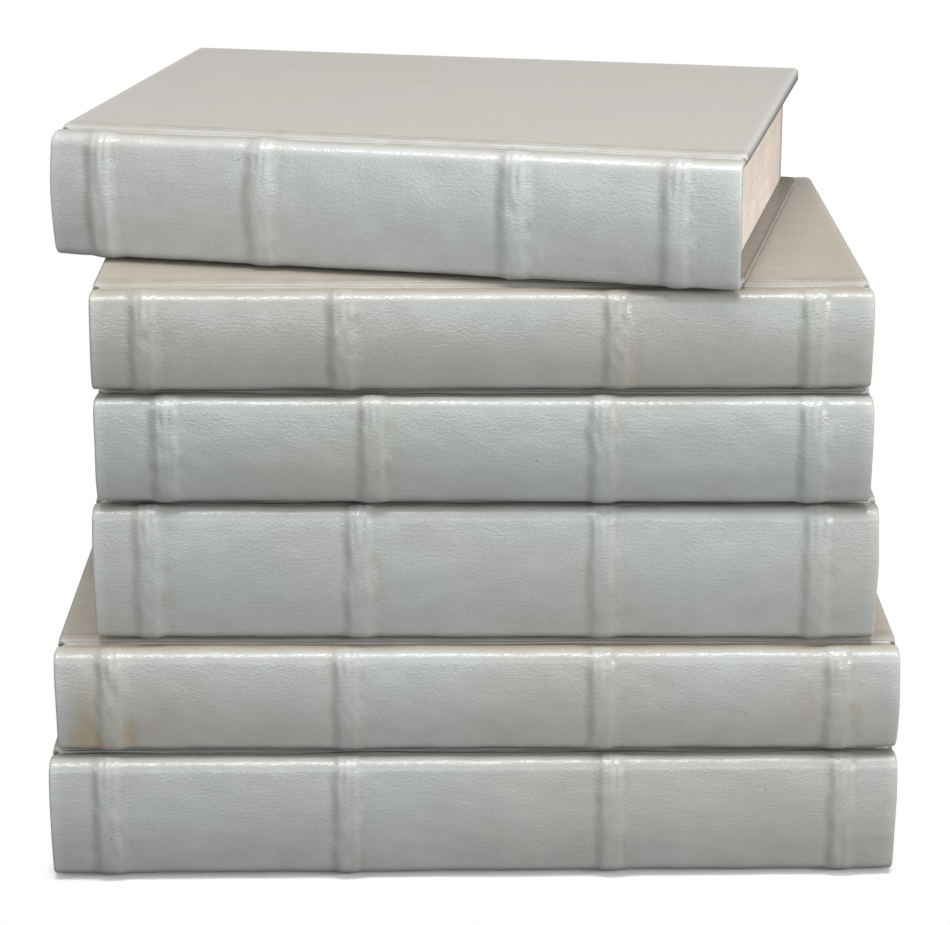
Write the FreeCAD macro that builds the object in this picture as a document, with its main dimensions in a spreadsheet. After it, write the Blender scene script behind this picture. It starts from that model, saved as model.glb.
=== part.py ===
import FreeCAD, Part
import Sketcher
import math
import os

# Stack of six full-leather books with raised bands, lying flat with their spines in front.
# Frame: millimetres, +X along the spines to the right, +Y from the spines to the fore-edges,
# +Z up, origin on the floor under the middle of the bottom book.
# Each book is built at its own lower left corner: x along the spine from its left end,
# y back from the foremost line of the spine, z up from the lowest plane of the covers.

os.makedirs("parts", exist_ok=True)
doc = FreeCAD.newDocument("stack_of_books")

# Sizes that all six bindings share, in millimetres
SHARED_SIZES = [
    ("leather", 0.7, "thickness of the covering leather"),
    ("board", 2.0, "thickness of a cover board"),
    ("inlay", 0.8, "thickness of the card strip inside the spine"),
    ("paper", 0.3, "thickness of a pastedown"),
    ("square", 4.9, "how far the covers reach past the pages"),
    ("setback", 0.4, "how far the spine reaches past the covers at each end"),
    ("turn_in", 12.0, "width of the leather turned in over the boards' inner faces"),
    ("corner", 3.0, "radius of the covers' corners at the fore-edge"),
    ("rounding", 1.2, "radius of the covers' outer edges"),
    ("crown", 2.4, "how far the middle of the spine stands in front of its shoulders"),
    ("shoulder", 4.5, "radius of the spine's shoulders"),
    ("shoulder_drop", 1.0, "how far the shoulders lie below the covers' outer faces"),
    ("ledge", 9.5, "where the joint begins, back from the spine's face"),
    ("hinge_edge", 14.0, "where the covers begin, back from the spine's face"),
    ("joint_dip", 0.8, "depth of the joint below the shoulders"),
    ("joint_slope", 2.0, "how far back the joint's slope reaches from the ledge"),
    ("inlay_reach", 6.5, "how far back the card strip reaches round the shoulders"),
    ("band_width", 9.0, "width of the bulge over a raised band"),
    ("band_rise", 1.3, "how far a band stands in front of the spine"),
    ("band_flank", 1.1, "height and width of a bulge's sloping sides"),
    ("band_lip", 0.6, "how far a band stands proud of the shoulders"),
    ("band_reach", 8.0, "how far back a band's strip reaches"),
    ("page_gap", 0.1, "clearance between the pages and the covers"),
    ("back_gap", 0.3, "clearance between the pages' back and the card strip"),
    ("fore_edge_hollow", 0.8, "depth of the hollow in the pages' fore-edge"),
    ("endband", 1.0, "radius of an endband"),
    ("hinge_gap", 0.3, "slit between the top cover's leather and the spine's"),
]

# Sizes of each book, from the floor up
BOOK_SIZES = ("length", "thickness", "depth", "left", "front", "turn",
              "first_band", "last_band", "second_share", "third_share")
BOOKS = {
    "one": (284.0, 43.5, 190.0, -141.5, -93.5, 0.9, 20.0, 18.5, 0.325, 0.685),
    "two": (281.0, 37.0, 188.0, -139.0, -88.0, 0.3, 19.0, 20.5, 0.325, 0.675),
    "three": (259.5, 47.5, 176.0, -125.5, -79.5, -0.1, 18.5, 20.5, 0.315, 0.680),
    "four": (254.0, 37.5, 172.0, -123.5, -78.5, -0.3, 23.5, 19.5, 0.320, 0.675),
    "five": (254.0, 34.5, 172.0, -124.0, -76.5, 0.6, 18.0, 19.0, 0.295, 0.705),
    "six": (231.5, 43.5, 166.5, -141.0, -31.5, -12.3, 18.0, 21.0, 0.285, 0.725),
}
BOOK_NOTES = {
    "length": "length of the spine",
    "thickness": "thickness over the covers",
    "depth": "from the spine's face to the covers' fore-edge",
    "left": "place of the spine's left end in the stack, along x",
    "front": "place of the spine's face at its left end, along y",
    "turn": "turn about z, in degrees",
    "first_band": "middle of the first band, from the left end",
    "last_band": "middle of the last band, from the right end",
    "second_share": "second band's share of the way from the first to the last",
    "third_share": "third band's share of the way from the first to the last",
}
TOP_BOOK = "six"


# Spreadsheet of the driving dimensions
sheet = doc.addObject("Spreadsheet::Sheet", "sizes")


def write_size(row, alias, value, note):
    """One line of the sheet: the size's name, its plain number and what it is."""
    sheet.set(f"A{row}", alias)
    sheet.set(f"B{row}", str(value))
    sheet.setAlias(f"B{row}", alias)
    sheet.set(f"C{row}", note)


lines = list(SHARED_SIZES)
for book_word, book_values in BOOKS.items():
    for column, book_value in zip(BOOK_SIZES, book_values):
        lines.append((f"{book_word}_{column}", book_value, BOOK_NOTES[column]))
for line_number, (alias, value, note) in enumerate(lines, start=1):
    write_size(line_number, alias, value, note)
doc.recompute()


def shared(alias):
    """A shared size, as an expression."""
    return f"sizes.{alias}"


def number(expression):
    """The present value of an expression."""
    return float(sheet.evalExpression(expression))


LEATHER = shared("leather")
COVER = f"({shared('board')} + 2 * {LEATHER})"
HINGE_EDGE = shared("hinge_edge")
LEDGE = shared("ledge")
DROP = shared("shoulder_drop")
SETBACK = shared("setback")
BAND_LIP = shared("band_lip")
BAND_RISE = shared("band_rise")
NOTHING = "0"
WHOLE = "1"

# How close a middle of an edge has to be to the place that is looked for, in millimetres
TOLERANCE = 0.01

# The points of a sketch's element, and the element that is the sketch's own origin
START, END, CENTRE = 1, 2, 3
ORIGIN = -1


class Book:
    """Expressions for one book's sizes and place, and the word and number it goes by."""

    def __init__(self, word, place_in_stack):
        self.name = f"book{place_in_stack}"
        self.length = f"sizes.{word}_length"
        self.thickness = f"sizes.{word}_thickness"
        self.depth = f"sizes.{word}_depth"
        self.first_band = f"sizes.{word}_first_band"
        self.last_band = f"({self.length} - sizes.{word}_last_band)"
        self.second_share = f"sizes.{word}_second_share"
        self.third_share = f"sizes.{word}_third_share"
        below = [f"sizes.{lower}_thickness" for lower in list(BOOKS)[:place_in_stack - 1]]
        height = " + ".join(below) or NOTHING
        self.pose = (f"placement(vector(sizes.{word}_left; sizes.{word}_front; {height}); "
                     f"rotation(vector(0; 0; 1); sizes.{word}_turn))")
        half = f"({self.thickness} / 2 - {DROP})"
        crown = shared("crown")
        self.spine_radius = f"((pow({half}; 2) + pow({crown}; 2)) / (2 * {crown}))"

    def band_middles(self):
        """Expressions for the middles of the four bands, along the spine."""
        stretch = f"({self.last_band} - {self.first_band})"
        shares = (NOTHING, self.second_share, self.third_share, WHOLE)
        return [f"({self.first_band} + {share} * {stretch})" for share in shares]

    def inside(self, side, distance):
        """Height of what lies a distance inside the upper or the lower face."""
        return f"({self.thickness} - ({distance}))" if side == "upper" else f"({distance})"


def new_body(name, book):
    """An empty body at the book's place in the stack."""
    body = doc.addObject("PartDesign::Body", name)
    body.Label = name
    body.setExpression("Placement", book.pose)
    return body


def new_sketch(body, role, offset):
    """A sketch on one of the body's own planes, moved along the plane's normal."""
    sketch = body.newObject("Sketcher::SketchObject", f"{body.Name}_outline")
    plane = [feature for feature in body.Origin.OriginFeatures if feature.Role == role][0]
    sketch.AttachmentSupport = [(plane, "")]
    sketch.MapMode = "FlatFace"
    sketch.setExpression("AttachmentOffset.Base.z", offset)
    return sketch


def add_pad(body, sketch, length):
    """The sketch's outline carried along its normal."""
    pad = body.newObject("PartDesign::Pad", f"{body.Name}_pad")
    pad.Profile = sketch
    pad.setExpression("Length", length)
    doc.recompute()
    return pad


def round_off(body, base, chosen, size, kind="Fillet", dimension="Radius"):
    """Round or bevel the edges of a feature for which chosen(middle of the edge) is true."""
    names = [f"Edge{index}" for index, edge in enumerate(base.Shape.Edges, start=1)
             if chosen(edge.valueAt((edge.FirstParameter + edge.LastParameter) / 2))]
    feature = body.newObject(f"PartDesign::{kind}", f"{body.Name}_{kind.lower()}")
    feature.Base = (base, names)
    feature.setExpression(dimension, size)
    doc.recompute()
    return feature


def bind(sketch, kind, element, expression, point=None):
    """One dimension of a sketch: its constraint, bound to an expression."""
    if point is None:
        index = sketch.addConstraint(Sketcher.Constraint(kind, element, number(expression)))
    else:
        ends = (ORIGIN, START, element, point)
        index = sketch.addConstraint(Sketcher.Constraint(kind, *ends, number(expression)))
    sketch.setExpression(f"Constraints[{index}]", expression)


def join_ends(sketch, elements):
    """Join each element's end to the next one's start, all the way round."""
    for element, following in zip(elements, elements[1:] + elements[:1]):
        sketch.addConstraint(Sketcher.Constraint("Coincident", element, END, following, START))


def draw_polygon(sketch, corners):
    """A closed outline of straight lines; each corner is a pair of expressions."""
    points = [FreeCAD.Vector(number(across), number(up), 0) for across, up in corners]
    lines = [sketch.addGeometry(Part.LineSegment(start, end))
             for start, end in zip(points, points[1:] + points[:1])]
    join_ends(sketch, lines)
    for line, (across, up) in zip(lines, corners):
        bind(sketch, "DistanceX", line, across, point=START)
        bind(sketch, "DistanceY", line, up, point=START)


def front_arc(centre, radius, high):
    """The part of a circle in front of its centre, from its upper to its lower end."""
    turn = math.pi - math.asin((high - centre.y) / radius)
    circle = Part.Circle(centre, FreeCAD.Vector(0, 0, 1), radius)
    return Part.ArcOfCircle(circle, turn, 2 * math.pi - turn)


def bind_arc(sketch, arc, centre_across, centre_up, radius):
    """Tie an arc to its centre and its radius."""
    bind(sketch, "DistanceX", arc, centre_across, point=CENTRE)
    bind(sketch, "DistanceY", arc, centre_up, point=CENTRE)
    bind(sketch, "Radius", arc, radius)


def spine_block(name, book, start, length, back, front_inset, shoulder_inset):
    """A length of the spine as a full block with an arched front and round shoulders.

    Its arc lies front_inset inside the spine's face, and its flats lie shoulder_inset
    inside the shoulders, so insets that grow by one thickness give nested layers.
    """
    body = new_body(name, book)
    sketch = new_sketch(body, "YZ_Plane", start)
    low = f"({DROP} + {shoulder_inset})"
    high = f"({book.thickness} - {DROP} - {shoulder_inset})"
    radius = f"({book.spine_radius} - ({front_inset}))"
    middle = f"({book.thickness} / 2)"
    centre = FreeCAD.Vector(number(book.spine_radius), number(middle), 0)
    arc_shape = front_arc(centre, number(radius), number(high))
    upper_front = arc_shape.StartPoint
    lower_front = arc_shape.EndPoint
    lower_back = FreeCAD.Vector(number(back), number(low), 0)
    upper_back = FreeCAD.Vector(number(back), number(high), 0)
    arc = sketch.addGeometry(arc_shape)
    lower = sketch.addGeometry(Part.LineSegment(lower_front, lower_back))
    rear = sketch.addGeometry(Part.LineSegment(lower_back, upper_back))
    upper = sketch.addGeometry(Part.LineSegment(upper_back, upper_front))
    join_ends(sketch, [arc, lower, rear, upper])
    sketch.addConstraint(Sketcher.Constraint("Horizontal", lower))
    sketch.addConstraint(Sketcher.Constraint("Vertical", rear))
    sketch.addConstraint(Sketcher.Constraint("Horizontal", upper))
    bind(sketch, "DistanceY", lower, low, point=START)
    bind(sketch, "DistanceY", upper, high, point=START)
    bind(sketch, "DistanceX", rear, back, point=START)
    bind_arc(sketch, arc, book.spine_radius, middle, radius)
    pad = add_pad(body, sketch, length)
    front = upper_front.x

    def at_shoulder(middle_point):
        along_spine = number(start) + number(length) / 2
        return abs(middle_point.x - along_spine) < TOLERANCE and abs(middle_point.y - front) < TOLERANCE

    round_off(body, pad, at_shoulder, f"{shared('shoulder')} - ({front_inset})")
    return body


def plate(name, book, inset, front, back, bottom, height, corner=None, outer=None):
    """A flat sheet, inset from the spine's two ends, between two depths and from a height up.

    Its two corners at the fore-edge are rounded by corner, and the edges of its outer
    face, the upper or the lower one, by the covers' rounding.
    """
    body = new_body(name, book)
    sketch = new_sketch(body, "XY_Plane", bottom)
    right = f"({book.length} - ({inset}))"
    draw_polygon(sketch, [(inset, front), (right, front), (right, back), (inset, back)])
    solid = add_pad(body, sketch, height)
    middle_height = number(f"{bottom} + {height} / 2")
    if corner:
        def at_corner(point):
            return abs(point.y - number(back)) < TOLERANCE and abs(point.z - middle_height) < TOLERANCE
        solid = round_off(body, solid, at_corner, corner)
    if outer:
        face_height = number(bottom) + (number(height) if outer == "upper" else 0)
        round_off(body, solid, lambda point: abs(point.z - face_height) < TOLERANCE,
                  f"min({shared('rounding')}; 2 * {LEATHER})")
    return body


def boolean(kind, name, base, tools):
    """Join shapes, or take tools away from a base."""
    result = doc.addObject(kind, name)
    result.Label = name
    if kind == "Part::MultiFuse":
        result.Shapes = [base] + tools
    elif kind == "Part::Compound":
        result.Links = [base] + tools
    else:
        result.Base = base
        result.Tool = tools[0]
    if kind != "Part::Compound":
        result.Refine = True
    doc.recompute()
    return result


def joint_strip(book, side):
    """The leather of one joint: level with the shoulder, then down to the cover's edge."""
    body = new_body(f"{book.name}_{side}_joint_strip", book)
    sketch = new_sketch(body, "YZ_Plane", SETBACK)
    dip = f"{DROP} + {shared('joint_dip')}"
    in_front = f"({LEDGE} - {LEATHER})"
    bottom_of_slope = f"({LEDGE} + {shared('joint_slope')})"
    behind = f"({HINGE_EDGE} + {LEATHER})"
    outline = [(in_front, DROP), (LEDGE, DROP), (bottom_of_slope, dip), (behind, dip),
               (behind, f"{dip} + {LEATHER}"), (bottom_of_slope, f"{dip} + {LEATHER}"),
               (LEDGE, f"{DROP} + {LEATHER}"), (in_front, f"{DROP} + {LEATHER}")]
    draw_polygon(sketch, [(across, book.inside(side, depth)) for across, depth in outline])
    add_pad(body, sketch, f"{book.length} - 2 * {SETBACK}")
    return body


def layer_bottom(book, side, outer, height):
    """Lowest height of a layer that starts outer inside a face and is so thick."""
    return book.inside(side, f"({outer} + {height})") if side == "upper" else book.inside(side, outer)


def make_board(book, side):
    """Binder's board, wrapped in leather on its outer face and its edges."""
    board = shared("board")
    return plate(f"{book.name}_{side}_board", book, f"({SETBACK} + {LEATHER})",
                 f"({HINGE_EDGE} + {LEATHER})", f"({book.depth} - {LEATHER})",
                 layer_bottom(book, side, LEATHER, board), board,
                 corner=f"{shared('corner')} - {LEATHER}")


def make_cover_block(book, side):
    """The full outside of one cover, leather included."""
    return plate(f"{book.name}_{side}_cover_block", book, SETBACK, HINGE_EDGE, book.depth,
                 layer_bottom(book, side, NOTHING, COVER), COVER,
                 corner=shared("corner"), outer=side)


def inner_sheet(name, book, side, front, height):
    """A sheet on the board's inner face, framed by the turned-in leather."""
    inner_face = f"({LEATHER} + {shared('board')})"
    return plate(name, book, f"({SETBACK} + {shared('turn_in')})", front,
                 f"({book.depth} - {shared('turn_in')})",
                 layer_bottom(book, side, inner_face, height), height)


def make_text_block(book):
    """All the pages, with a round back, eased at its edges, and a hollow fore-edge."""
    body = new_body(f"{book.name}_text_block", book)
    start = f"({SETBACK} + {shared('square')})"
    sketch = new_sketch(body, "YZ_Plane", start)
    low = f"({COVER} + {shared('page_gap')})"
    high = f"({book.thickness} - {low})"
    middle = f"({book.thickness} / 2)"
    back_radius = f"({book.spine_radius} - {LEATHER} - {shared('inlay')} - {shared('back_gap')})"
    hollow = shared("fore_edge_hollow")
    half = f"({middle} - {low})"
    hollow_radius = f"((pow({half}; 2) + pow({hollow}; 2)) / (2 * {hollow}))"
    hollow_centre = f"({book.depth} - {shared('square')} - {hollow} + {hollow_radius})"
    height = number(middle)
    back_shape = front_arc(FreeCAD.Vector(number(book.spine_radius), height, 0),
                           number(back_radius), number(high))
    fore_shape = front_arc(FreeCAD.Vector(number(hollow_centre), height, 0),
                           number(hollow_radius), number(high))
    back = sketch.addGeometry(back_shape)
    lower = sketch.addGeometry(Part.LineSegment(back_shape.EndPoint, fore_shape.EndPoint))
    fore = sketch.addGeometry(fore_shape)
    upper = sketch.addGeometry(Part.LineSegment(fore_shape.StartPoint, back_shape.StartPoint))
    for first, first_end, second, second_end in ((back, END, lower, START), (lower, END, fore, END),
                                                 (fore, START, upper, START), (upper, END, back, START)):
        sketch.addConstraint(Sketcher.Constraint("Coincident", first, first_end, second, second_end))
    sketch.addConstraint(Sketcher.Constraint("Horizontal", lower))
    sketch.addConstraint(Sketcher.Constraint("Horizontal", upper))
    bind(sketch, "DistanceY", lower, low, point=START)
    bind(sketch, "DistanceY", upper, high, point=START)
    bind_arc(sketch, back, book.spine_radius, middle, back_radius)
    bind_arc(sketch, fore, hollow_centre, middle, hollow_radius)
    pad = add_pad(body, sketch, f"{book.length} - 2 * {start}")
    edge = back_shape.StartPoint.x

    def at_back_edge(point):
        on_faces = min(abs(point.z - number(high)), abs(point.z - number(low))) < TOLERANCE
        return on_faces and abs(point.y - edge) < TOLERANCE and point.x > number(start)

    round_off(body, pad, at_back_edge,
              f"{shared('shoulder')} - {LEATHER} - {shared('inlay')} - {shared('back_gap')}")
    return body


def make_endbands(book):
    """A half-round roll on each end of the pages, bent along their round back."""
    radius = shared("endband")
    back = f"({LEATHER} + {shared('inlay')} + {shared('back_gap')})"
    roll = f"({back} + {radius})"
    half_height = f"({book.thickness} / 2 - {COVER} - {shared('page_gap')})"
    ring_radius = f"({book.spine_radius} - {roll})"
    sweep = f"(2 * asin(({half_height} - {radius} / 2) / {ring_radius}))"
    page_ends = {"head": f"({SETBACK} + {shared('square')})",
                 "tail": f"({book.length} - {SETBACK} - {shared('square')})"}
    rolls = []
    for end, along in page_ends.items():
        body = new_body(f"{book.name}_{end}_endband", book)
        sketch = new_sketch(body, "XY_Plane", f"{book.thickness} / 2")
        centre = FreeCAD.Vector(number(along), number(roll), 0)
        circle = Part.Circle(centre, FreeCAD.Vector(0, 0, 1), number(radius))
        quarter = math.pi / 2
        first, last = (quarter, 3 * quarter) if end == "head" else (-quarter, quarter)
        arc = sketch.addGeometry(Part.ArcOfCircle(circle, first, last))
        shape = sketch.Geometry[arc]
        flat = sketch.addGeometry(Part.LineSegment(shape.EndPoint, shape.StartPoint))
        join_ends(sketch, [arc, flat])
        sketch.addConstraint(Sketcher.Constraint("Vertical", flat))
        bind_arc(sketch, arc, along, roll, radius)
        bind(sketch, "DistanceX", flat, along, point=START)
        axis_start = FreeCAD.Vector(0, number(book.spine_radius), 0)
        axis_line = Part.LineSegment(axis_start, axis_start + FreeCAD.Vector(number(WHOLE), 0, 0))
        axis = sketch.addGeometry(axis_line, True)
        bind(sketch, "DistanceX", axis, NOTHING, point=START)
        bind(sketch, "DistanceY", axis, book.spine_radius, point=START)
        bind(sketch, "DistanceX", axis, WHOLE, point=END)
        bind(sketch, "DistanceY", axis, book.spine_radius, point=END)
        roll_feature = body.newObject("PartDesign::Revolution", f"{body.Name}_roll")
        roll_feature.Profile = sketch
        roll_feature.ReferenceAxis = (sketch, ["Axis0"])
        roll_feature.Midplane = True
        roll_feature.setExpression("Angle", sweep)
        rolls.append(body)
    return boolean("Part::Compound", f"{book.name}_endbands", rolls[0], rolls[1:])


def band_block(name, book, middle, width, reach, front_inset, shoulder_inset):
    """A slice of the spine as wide as a band, in front of the spine's own face."""
    start = f"({middle} - {width} / 2)"
    return spine_block(name, book, start, width, reach, front_inset, shoulder_inset)


def make_bulge(book, index, middle):
    """The outside of the leather where it is moulded over one band."""
    width = shared("band_width")
    body = band_block(f"{book.name}_bulge{index}", book, middle, width,
                      f"({shared('band_reach')} + {LEATHER})", f"-{BAND_RISE}", f"-{BAND_LIP}")
    behind = number(f"{shared('band_reach')} + {LEATHER}")
    side = number(f"{width} / 2")
    centre = number(middle)

    def on_side(point):
        return abs(abs(point.x - centre) - side) < TOLERANCE and point.y < behind - TOLERANCE

    # The two slopes never take more than half of a narrow band
    flank = f"min({shared('band_flank')}; {width} / 4)"
    round_off(body, body.Tip, on_side, flank, kind="Chamfer", dimension="Size")
    return body


def make_book(word, place_in_stack):
    """All the pieces of one book, as a list of objects whose labels name them."""
    book = Book(word, place_in_stack)
    name = book.name
    sides = ("upper", "lower")
    layers = f"({LEATHER} + {shared('inlay')})"
    inner_length = f"({book.length} - 2 * {LEATHER})"
    boards = [make_board(book, side) for side in sides]
    windows = [inner_sheet(f"{name}_{side}_window", book, side, HINGE_EDGE, LEATHER) for side in sides]
    pastedowns = [inner_sheet(f"{name}_{side}_pastedown", book, side, f"({HINGE_EDGE} + {LEATHER})",
                              shared("paper")) for side in sides]

    room = spine_block(f"{name}_spine_room", book, LEATHER, inner_length, LEDGE, LEATHER, LEATHER)
    mouth = spine_block(f"{name}_spine_mouth", book, NOTHING, book.length, f"({LEDGE} + {LEATHER})",
                        layers, layers)
    middles = list(enumerate(book.band_middles(), start=1))
    strip_width = f"({shared('band_width')} - 2 * {LEATHER})"
    strip_rooms = [band_block(f"{name}_strip{index}_block", book, middle, strip_width,
                              shared("band_reach"), f"({LEATHER} - {BAND_RISE})",
                              f"({LEATHER} - {BAND_LIP})") for index, middle in middles]

    inlay_block = spine_block(f"{name}_inlay_block", book, LEATHER, inner_length,
                              shared("inlay_reach"), LEATHER, LEATHER)
    inlay = boolean("Part::Cut", f"{name}_spine_inlay", inlay_block, [mouth])
    strips = [boolean("Part::Cut", f"{name}_strip{index}", strip_room, [room])
              for (index, middle), strip_room in zip(middles, strip_rooms)]
    bands = boolean("Part::Compound", f"{name}_raised_bands", strips[0], strips[1:])

    outside = spine_block(f"{name}_spine_outside", book, NOTHING, book.length, LEDGE, NOTHING, NOTHING)
    case = [make_cover_block(book, side) for side in sides]
    case += [joint_strip(book, side) for side in sides]
    case += [make_bulge(book, index, middle) for index, middle in middles]
    outside_all = boolean("Part::MultiFuse", f"{name}_case_outside", outside, case)
    rooms = boolean("Part::MultiFuse", f"{name}_rooms", room, [mouth] + boards + windows + strip_rooms)
    pieces = [make_text_block(book), *boards, inlay, bands, make_endbands(book), *pastedowns]
    if word != TOP_BOOK:
        return pieces + [boolean("Part::Cut", f"{name}_leather_cover", outside_all, [rooms])]
    whole = boolean("Part::Cut", f"{name}_whole_leather", outside_all, [rooms])
    return pieces + split_at_hinge(book, whole)


def split_at_hinge(book, leather):
    """The top cover's leather and the rest, parted along the middle of the upper joint."""
    hinge = f"(({LEDGE} + {HINGE_EDGE}) / 2)"
    gap = shared("hinge_gap")
    half = f"({book.thickness} / 2)"
    above = plate(f"{book.name}_above_hinge", book, f"-{SETBACK}", f"({hinge} - {gap} / 2)",
                  f"({book.depth} + {SETBACK})", half, book.thickness)
    opening = plate(f"{book.name}_opening_side", book, f"-{SETBACK}", f"({hinge} + {gap} / 2)",
                    f"({book.depth} + {SETBACK})", half, book.thickness)
    fixed = boolean("Part::Cut", f"{book.name}_leather_cover", leather, [above])
    moving = boolean("Part::Common", f"{book.name}_top_cover_leather", leather, [opening])
    return [fixed, moving]


subparts = []
for place_in_stack, word in enumerate(BOOKS, start=1):
    subparts += make_book(word, place_in_stack)
doc.recompute()

# Every object has to be sound before anything is written
for item in doc.Objects:
    if "Invalid" in item.State or "Error" in item.State:
        raise RuntimeError(f"{item.Label} is {item.State}")
for piece in subparts:
    if piece.Shape.isNull() or not piece.Shape.isValid():
        raise RuntimeError(f"{piece.Label} has no sound shape")

for piece in subparts:
    piece.Shape.exportStep(f"parts/{piece.Label}.step")
    box = piece.Shape.BoundBox
    print(f"{piece.Label}: {len(piece.Shape.Solids)} solid(s), {piece.Shape.Volume / 1000:.1f} cm3, "
          f"x {box.XMin:.1f} to {box.XMax:.1f}, y {box.YMin:.1f} to {box.YMax:.1f}, "
          f"z {box.ZMin:.1f} to {box.ZMax:.1f}")
print(f"{len(subparts)} sub-parts")
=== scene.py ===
# %% [markdown]
# A stack of six books bound in grey leather, spines in front and the top one turned.
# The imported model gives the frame: where every piece sits and which cover turns. This
# script dresses it, so it starts by loading that frame and keeping its box.

# %% Load the frame
import math

import bpy
import numpy as np
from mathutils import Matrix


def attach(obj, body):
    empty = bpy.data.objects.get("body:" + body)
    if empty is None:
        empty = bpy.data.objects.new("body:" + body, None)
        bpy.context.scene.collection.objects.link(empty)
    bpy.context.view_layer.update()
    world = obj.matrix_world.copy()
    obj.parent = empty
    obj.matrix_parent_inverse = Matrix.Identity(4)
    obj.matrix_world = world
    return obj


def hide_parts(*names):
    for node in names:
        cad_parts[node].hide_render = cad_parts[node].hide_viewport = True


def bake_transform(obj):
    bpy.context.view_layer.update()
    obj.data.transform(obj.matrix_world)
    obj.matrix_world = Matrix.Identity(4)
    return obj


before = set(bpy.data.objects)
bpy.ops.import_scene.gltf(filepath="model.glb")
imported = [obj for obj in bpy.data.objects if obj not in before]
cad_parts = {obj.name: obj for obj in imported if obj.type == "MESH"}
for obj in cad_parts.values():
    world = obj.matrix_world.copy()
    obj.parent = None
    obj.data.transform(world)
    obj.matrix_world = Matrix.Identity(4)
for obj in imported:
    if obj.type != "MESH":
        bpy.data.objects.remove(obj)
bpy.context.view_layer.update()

MM = 0.001
STACK = "stack"
TOP_COVER = "top_cover"

# %% [markdown]
# The six bindings share their make: the same leather, boards, shoulders and joints. What
# differs is each book's size, its place in the stack and where its four bands sit. The
# sizes are the model's own, in millimetres, so every surface lands on the solid it covers.
# A stain is given by its place along the spine, its share of the height from below, its
# half width in millimetres, its half height as a share, and its strength.

# %% Sizes
LEATHER = 0.7
INLAY = 0.8
COVER = 3.4
SQUARE = 4.9
SETBACK = 0.4
TURN_IN = 12.0
CORNER = 3.0
CROWN = 2.4
SHOULDER = 4.5
SHOULDER_DROP = 1.0
HINGE_EDGE = 14.0
BAND_RISE = 1.3
PAGE_GAP = 0.1
PAGE_BACK_GAP = 0.35
FORE_EDGE_HOLLOW = 0.8

BOOKS = [
    dict(length=284.0, thickness=43.5, depth=190.0, left=-141.5, front=-93.5, turn=0.9,
         bands=(20.0, 99.8, 188.1, 265.5)),
    dict(length=281.0, thickness=37.0, depth=188.0, left=-139.0, front=-88.0, turn=0.3,
         bands=(19.0, 97.5, 182.0, 260.5),
         stains=((11.0, 0.22, 6.5, 0.52, 1.0), (25.0, 0.20, 3.2, 0.26, 0.95),
                 (32.0, 0.34, 13.0, 0.42, 0.45), (251.0, 0.48, 4.5, 0.25, 0.5),
                 (266.5, 0.40, 2.4, 0.30, 0.5))),
    dict(length=259.5, thickness=47.5, depth=176.0, left=-125.5, front=-79.5, turn=-0.1,
         bands=(18.5, 88.0, 168.4, 239.0),
         stains=((25.0, 0.45, 1.6, 0.30, 0.5), (94.5, 0.50, 1.5, 0.25, 0.5),
                 (245.0, 0.35, 1.6, 0.25, 0.45))),
    dict(length=254.0, thickness=37.5, depth=172.0, left=-123.5, front=-78.5, turn=-0.3,
         bands=(23.5, 91.0, 166.0, 234.5)),
    dict(length=254.0, thickness=34.5, depth=172.0, left=-124.0, front=-76.5, turn=0.6,
         bands=(18.0, 82.0, 171.0, 235.0),
         stains=((24.5, 0.40, 1.8, 0.35, 0.45), (177.5, 0.35, 1.8, 0.30, 0.5),
                 (241.0, 0.30, 2.0, 0.30, 0.5))),
    dict(length=231.5, thickness=43.5, depth=166.5, left=-141.0, front=-31.5, turn=-12.3,
         bands=(18.0, 72.9, 157.5, 210.5), warp=0.9),
]
floor_height = 0.0
for number, book in enumerate(BOOKS, start=1):
    book.update(number=number, name=f"book{number}", below=floor_height)
    floor_height += book["thickness"]
print("stack height:", floor_height, "mm")

# %% [markdown]
# The photograph was taken a little above the top book, looking down at the spines. A long
# lens a metre away keeps the books' sides nearly parallel, as the picture shows them.

# %% Camera
camera_data = bpy.data.cameras.new("camera")
camera = bpy.data.objects.new("camera", camera_data)
bpy.context.scene.collection.objects.link(camera)
camera_data.sensor_fit = "HORIZONTAL"
camera_data.sensor_width = 36.0
camera_data.lens = 108.1
camera_data.shift_x = 0.0023
camera_data.clip_start = 0.05
LOOK_DOWN = math.radians(18.15)
CAMERA_PLACE = (0.0, -0.962, 0.4335)
camera.location = CAMERA_PLACE
camera.rotation_euler = (math.radians(90) - LOOK_DOWN, 0.0, 0.0)
bpy.context.scene.camera = camera
print("camera at", CAMERA_PLACE)

# %% [markdown]
# Everything below is a surface worked out as whole arrays. These helpers turn a grid into
# quads, join shells, and put the result at the book's place in the stack, in metres.

# %% Mesh helpers
TURN = 2 * math.pi


def grid_quads(rows, columns, wrap=False):
    """Quads of a grid numbered row by row; wrap joins the last column to the first."""
    index = np.arange(rows * columns).reshape(rows, columns)
    if wrap:
        index = np.concatenate([index, index[:, :1]], axis=1)
    corners = [index[:-1, :-1], index[:-1, 1:], index[1:, 1:], index[1:, :-1]]
    return np.stack(corners, axis=-1).reshape(-1, 4)


def outward(points, quads):
    """The quads, all turned round if the closed shell's signed volume says they face inwards."""
    corners = points[quads]
    centre = corners.mean(axis=1)
    normal = np.cross(corners[:, 2] - corners[:, 0], corners[:, 3] - corners[:, 1])
    return quads if (centre * normal).sum() > 0 else quads[:, ::-1]


def join_shells(shells):
    """One (points, quads, marks) from several; marks maps an attribute's name to a value per point."""
    counts = np.cumsum([0] + [len(points) for points, quads, marks in shells])
    points = np.concatenate([shell[0] for shell in shells])
    quads = np.concatenate([shell[1] + start for shell, start in zip(shells, counts)])
    names = shells[0][2].keys()
    marks = {name: np.concatenate([shell[2][name] for shell in shells]) for name in names}
    return points, quads, marks


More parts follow.
